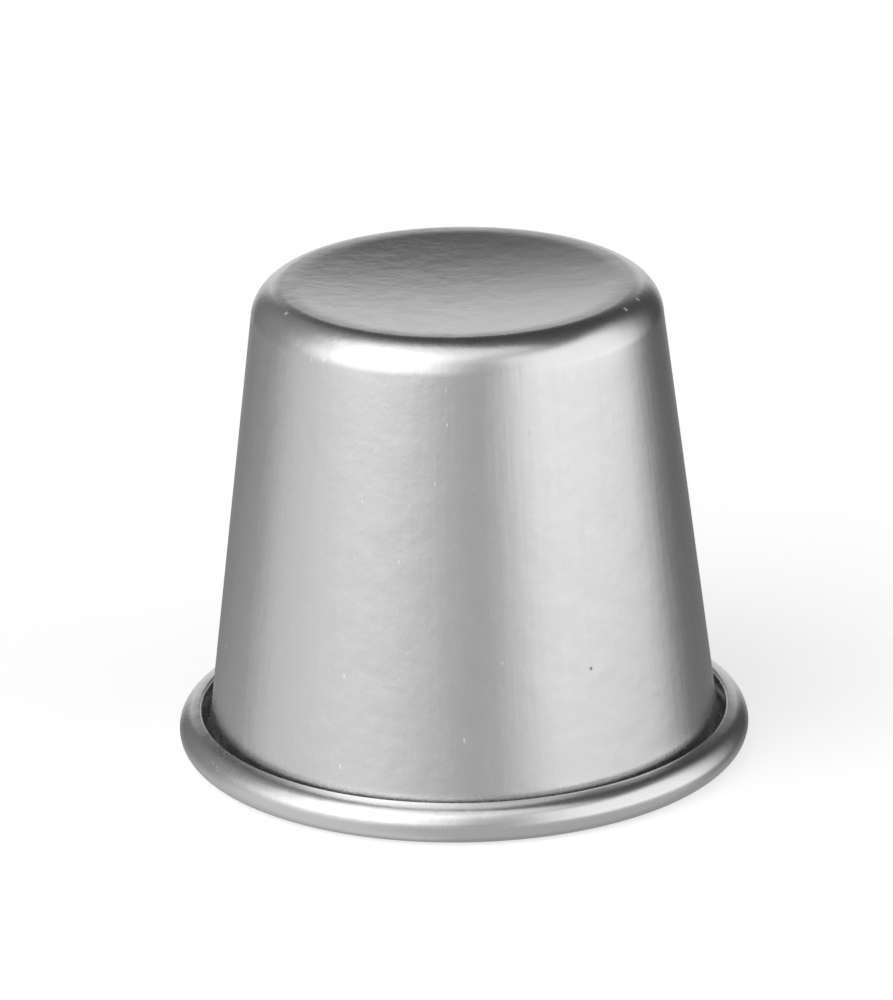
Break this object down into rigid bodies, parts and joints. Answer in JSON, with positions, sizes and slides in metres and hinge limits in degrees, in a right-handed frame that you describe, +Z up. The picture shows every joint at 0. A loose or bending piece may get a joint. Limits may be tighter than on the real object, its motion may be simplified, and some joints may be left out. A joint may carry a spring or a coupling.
{
  "type": "deep drawn metal cup",
  "caption": "Tapered round baking mould, deep drawn from one aluminium sheet, with a shallow dished base and an open curled rim that it stands on mouth down.",
  "frame": {"origin": "on the cup's axis, in the plane that the rim stands on", "axes": "+Z up along the cup's axis, from the mouth to the closed base"},
  "size_m": [0.071, 0.071, 0.06],
  "materials": {
    "satin_aluminium": "satin, with fine draw marks up the wall and rubbed spots on the curl"
  },
  "bodies": {
    "root": {"drawn_cup": "satin_aluminium"}
  },
  "joints": []
}
